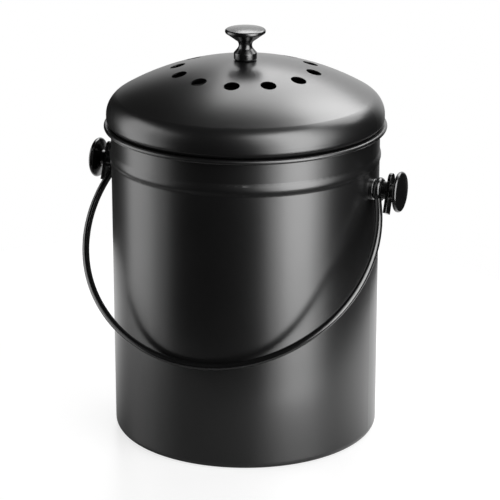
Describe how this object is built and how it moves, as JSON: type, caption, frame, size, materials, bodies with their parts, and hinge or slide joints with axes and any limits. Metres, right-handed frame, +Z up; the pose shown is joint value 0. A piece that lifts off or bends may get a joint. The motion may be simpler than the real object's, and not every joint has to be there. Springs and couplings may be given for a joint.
{
  "type": "countertop compost bin",
  "caption": "Round black steel countertop compost bin with a vented domed lift-off lid, a charcoal filter under it, and a rod bail on knobbed side pivots.",
  "frame": {"origin": "middle of the base, on the plane of the foot ring", "axes": "+Z up along the can's axis, +X through the right ear along the bail's hinge axis, -Y the front, where the bail hangs"},
  "size_m": [0.2262, 0.1918, 0.281],
  "materials": {
    "satin_powder_coat": "satin black powder coat on steel sheet",
    "gloss_black_enamel": "glossy black enamel on turned and bent steel",
    "zinc_plated_steel": "bright zinc plate",
    "seal_rubber": "moulded black rubber",
    "holder_plastic": "moulded black plastic",
    "charcoal_felt": "needled felt loaded with charcoal"
  },
  "bodies": {
    "can": {"can_body": "satin_powder_coat", "pivot_standoff_left": "gloss_black_enamel", "pivot_standoff_right": "gloss_black_enamel", "sealing_washer_left": "seal_rubber", "sealing_washer_right": "seal_rubber", "pivot_screw_left": "zinc_plated_steel", "pivot_screw_right": "zinc_plated_steel", "ear_knob_left": "gloss_black_enamel", "ear_knob_right": "gloss_black_enamel"},
    "bail": {"bail_rod": "gloss_black_enamel", "spacer_washer_left": "gloss_black_enamel", "spacer_washer_right": "gloss_black_enamel", "bail_strap_left": "gloss_black_enamel", "bail_strap_right": "gloss_black_enamel"},
    "lid": {"lid_shell": "satin_powder_coat", "lid_skirt": "satin_powder_coat", "lid_knob": "gloss_black_enamel", "lid_knob_washer": "zinc_plated_steel", "lid_knob_screw": "zinc_plated_steel"},
    "filter": {"filter_holder": "holder_plastic", "charcoal_filter": "charcoal_felt"}
  },
  "joints": [
    {"name": "bail_swing", "type": "hinge", "parent": "can", "child": "bail", "pos_m": [0, 0, 0.179], "axis": [-1, 0, 0], "range_deg": [0, 276.5]},
    {"name": "lid_lift", "type": "slide", "parent": "can", "child": "lid", "axis": [0, 0, 1], "range_m": [0, 0.1]},
    {"name": "filter_release", "type": "slide", "parent": "lid", "child": "filter", "axis": [0, 0, -1], "range_m": [0, 0.014]}
  ]
}
